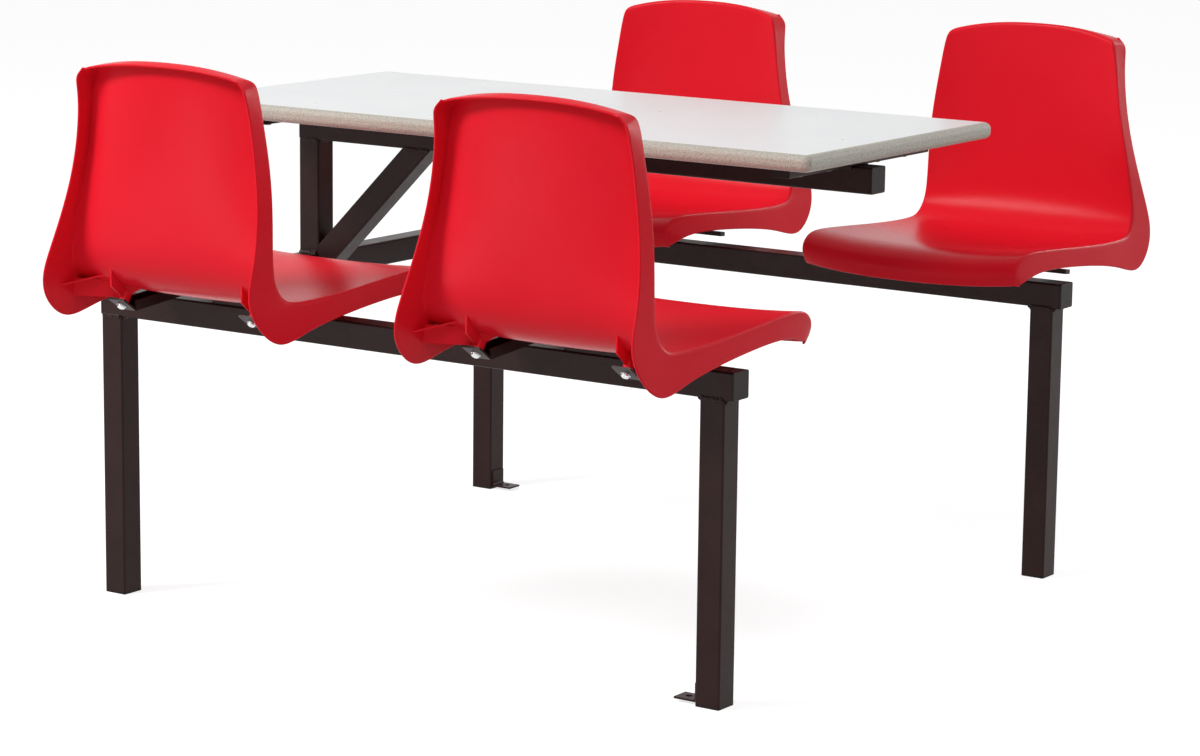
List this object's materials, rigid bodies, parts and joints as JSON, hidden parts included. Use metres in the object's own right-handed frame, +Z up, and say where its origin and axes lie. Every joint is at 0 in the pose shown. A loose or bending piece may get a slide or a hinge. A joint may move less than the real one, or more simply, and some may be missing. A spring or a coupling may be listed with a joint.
{
  "type": "canteen table with swivel seats",
  "caption": "Rectangular canteen table on a one-sided welded steel frame, with moulded plastic swivel seats fixed to the frame along both long sides.",
  "frame": {"origin": "on the floor, under the middle of the whole unit", "axes": "+X along the seat beams towards the open end, +Y from the front row of seats to the rear row, +Z up"},
  "size_m": [1.2109, 1.51, 0.8619],
  "materials": {
    "seat_plastic": "satin moulded polypropylene",
    "frame_paint": "satin powder coat, dark brown-black",
    "zinc": "bright zinc plate",
    "screw_steel": "dark domed screw heads",
    "black_plastic": "matt moulded plastic",
    "laminate": "smooth satin laminate",
    "core_board": "fibreboard",
    "edge_coat": "stippled sprayed edge"
  },
  "bodies": {
    "frame": {"front_left_leg": "frame_paint", "front_left_foot_insert": "black_plastic", "front_right_leg": "frame_paint", "front_right_foot_insert": "black_plastic", "rear_left_leg": "frame_paint", "rear_left_foot_insert": "black_plastic", "rear_right_leg": "frame_paint", "rear_right_foot_insert": "black_plastic", "front_seat_beam": "frame_paint", "rear_seat_beam": "frame_paint", "front_beam_left_cap": "black_plastic", "front_beam_right_cap": "black_plastic", "rear_beam_left_cap": "black_plastic", "rear_beam_right_cap": "black_plastic", "cross_beam": "frame_paint", "table_post": "frame_paint", "table_rail": "frame_paint", "table_rail_left_cap": "black_plastic", "table_rail_right_cap": "black_plastic", "table_brace": "frame_paint", "left_cross_bar": "frame_paint", "right_cross_bar": "frame_paint", "cross_bar_caps": "black_plastic", "cross_bar_screws": "screw_steel", "table_top_core": "core_board", "table_top_laminate": "laminate", "table_top_backing": "laminate", "table_top_edge": "edge_coat", "front_right_floor_bracket": "frame_paint", "rear_left_floor_bracket": "frame_paint", "leg_welds": "frame_paint", "cross_beam_welds": "frame_paint", "table_support_welds": "frame_paint", "floor_bracket_welds": "frame_paint", "swivel_base_welds": "frame_paint", "swivel_nuts": "zinc", "front_left_swivel_base": "frame_paint", "front_right_swivel_base": "frame_paint", "rear_left_swivel_base": "frame_paint", "rear_right_swivel_base": "frame_paint"},
    "front_left_seat": {"front_left_seat_shell": "seat_plastic", "front_left_seat_bracket": "frame_paint", "front_left_seat_bolts": "zinc", "front_left_seat_washers": "zinc", "front_left_swivel_head": "frame_paint"},
    "front_right_seat": {"front_right_seat_shell": "seat_plastic", "front_right_seat_bracket": "frame_paint", "front_right_seat_bolts": "zinc", "front_right_seat_washers": "zinc", "front_right_swivel_head": "frame_paint"},
    "rear_left_seat": {"rear_left_seat_shell": "seat_plastic", "rear_left_seat_bracket": "frame_paint", "rear_left_seat_bolts": "zinc", "rear_left_seat_washers": "zinc", "rear_left_swivel_head": "frame_paint"},
    "rear_right_seat": {"rear_right_seat_shell": "seat_plastic", "rear_right_seat_bracket": "frame_paint", "rear_right_seat_bolts": "zinc", "rear_right_seat_washers": "zinc", "rear_right_swivel_head": "frame_paint"}
  },
  "joints": [
    {"name": "front_left_swivel", "type": "hinge", "parent": "frame", "child": "front_left_seat", "pos_m": [-0.2455, -0.48, 0.4855], "axis": [0, 0, 1], "range_deg": [-30, 30]},
    {"name": "front_right_swivel", "type": "hinge", "parent": "frame", "child": "front_right_seat", "pos_m": [0.4005, -0.48, 0.4855], "axis": [0, 0, 1], "range_deg": [-30, 30]},
    {"name": "rear_left_swivel", "type": "hinge", "parent": "frame", "child": "rear_left_seat", "pos_m": [-0.2455, 0.48, 0.4855], "axis": [0, 0, 1], "range_deg": [-30, 30]},
    {"name": "rear_right_swivel", "type": "hinge", "parent": "frame", "child": "rear_right_seat", "pos_m": [0.4005, 0.48, 0.4855], "axis": [0, 0, 1], "range_deg": [-30, 30]}
  ]
}
